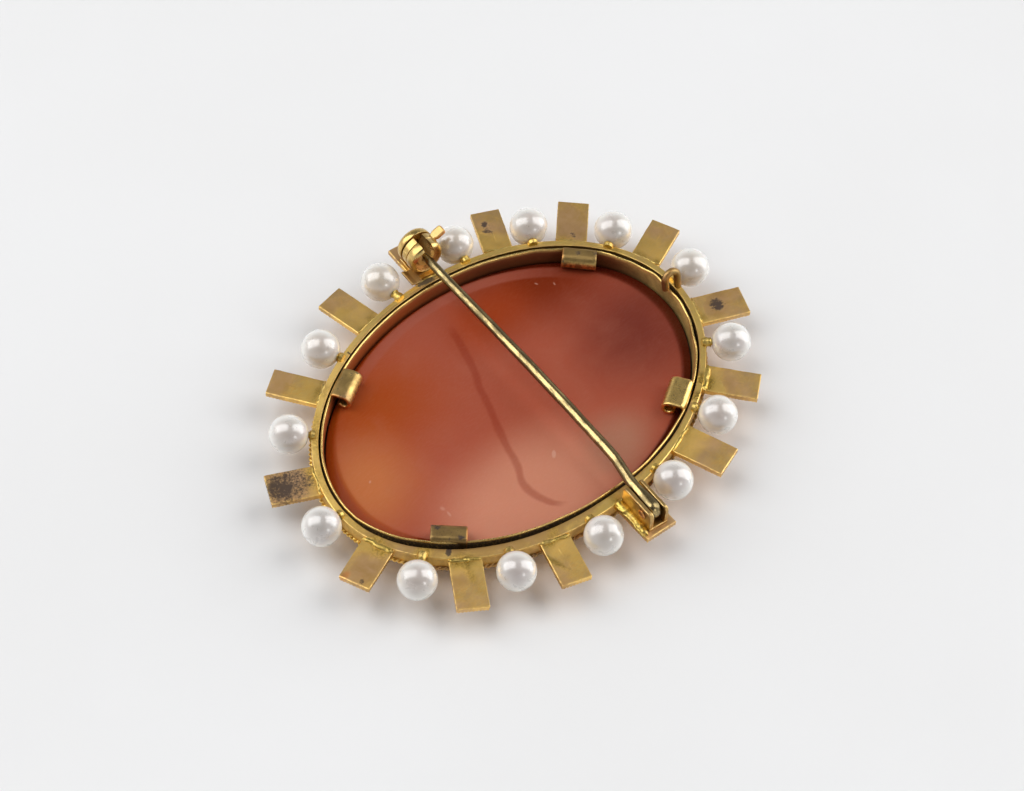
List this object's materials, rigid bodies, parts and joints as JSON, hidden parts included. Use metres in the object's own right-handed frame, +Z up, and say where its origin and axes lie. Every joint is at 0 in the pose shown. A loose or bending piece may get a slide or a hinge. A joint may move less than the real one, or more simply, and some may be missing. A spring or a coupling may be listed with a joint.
{
  "type": "cameo brooch",
  "caption": "Oval cameo brooch lying face down: stone in a tabbed collet, ray bars and pearls round the rim, hinged pin, revolving catch",
  "frame": {"origin": "centre of the overall outline, on the surface that the brooch lies on", "axes": "+Z up, out of the brooch's back; +X along the oval's long axis; the pin runs from its hinge near -Y to its catch near +Y"},
  "size_m": [0.0466, 0.0366, 0.0064],
  "materials": {
    "gilt_metal": "worn gilt, brushed and softly tarnished",
    "pin_metal": "drawn and polished wire",
    "cameo_stone": "polished translucent orange-brown back",
    "pearl": "soft nacre lustre"
  },
  "bodies": {
    "brooch": {"frame": "gilt_metal", "collet": "gilt_metal", "cameo_stone": "cameo_stone", "hinge_rivet": "pin_metal", "pearl_01": "pearl", "pearl_02": "pearl", "pearl_03": "pearl", "pearl_04": "pearl", "pearl_05": "pearl", "pearl_06": "pearl", "pearl_07": "pearl", "pearl_08": "pearl", "pearl_09": "pearl", "pearl_10": "pearl", "pearl_11": "pearl", "pearl_12": "pearl", "pearl_13": "pearl", "pearl_14": "pearl"},
    "pin": {"pin_stem": "pin_metal"},
    "catch": {"catch_rotor": "gilt_metal"}
  },
  "joints": [
    {"name": "pin_swing", "type": "hinge", "parent": "brooch", "child": "pin", "pos_m": [-0.001, -0.01665, 0.00441], "axis": [0.9849, -0.1731, 0], "range_deg": [0, 110]},
    {"name": "catch_turn", "type": "hinge", "parent": "brooch", "child": "catch", "pos_m": [0.00463, 0.01536, 0.0048], "axis": [-0.1731, -0.9849, 0], "range_deg": [0, 95]}
  ]
}
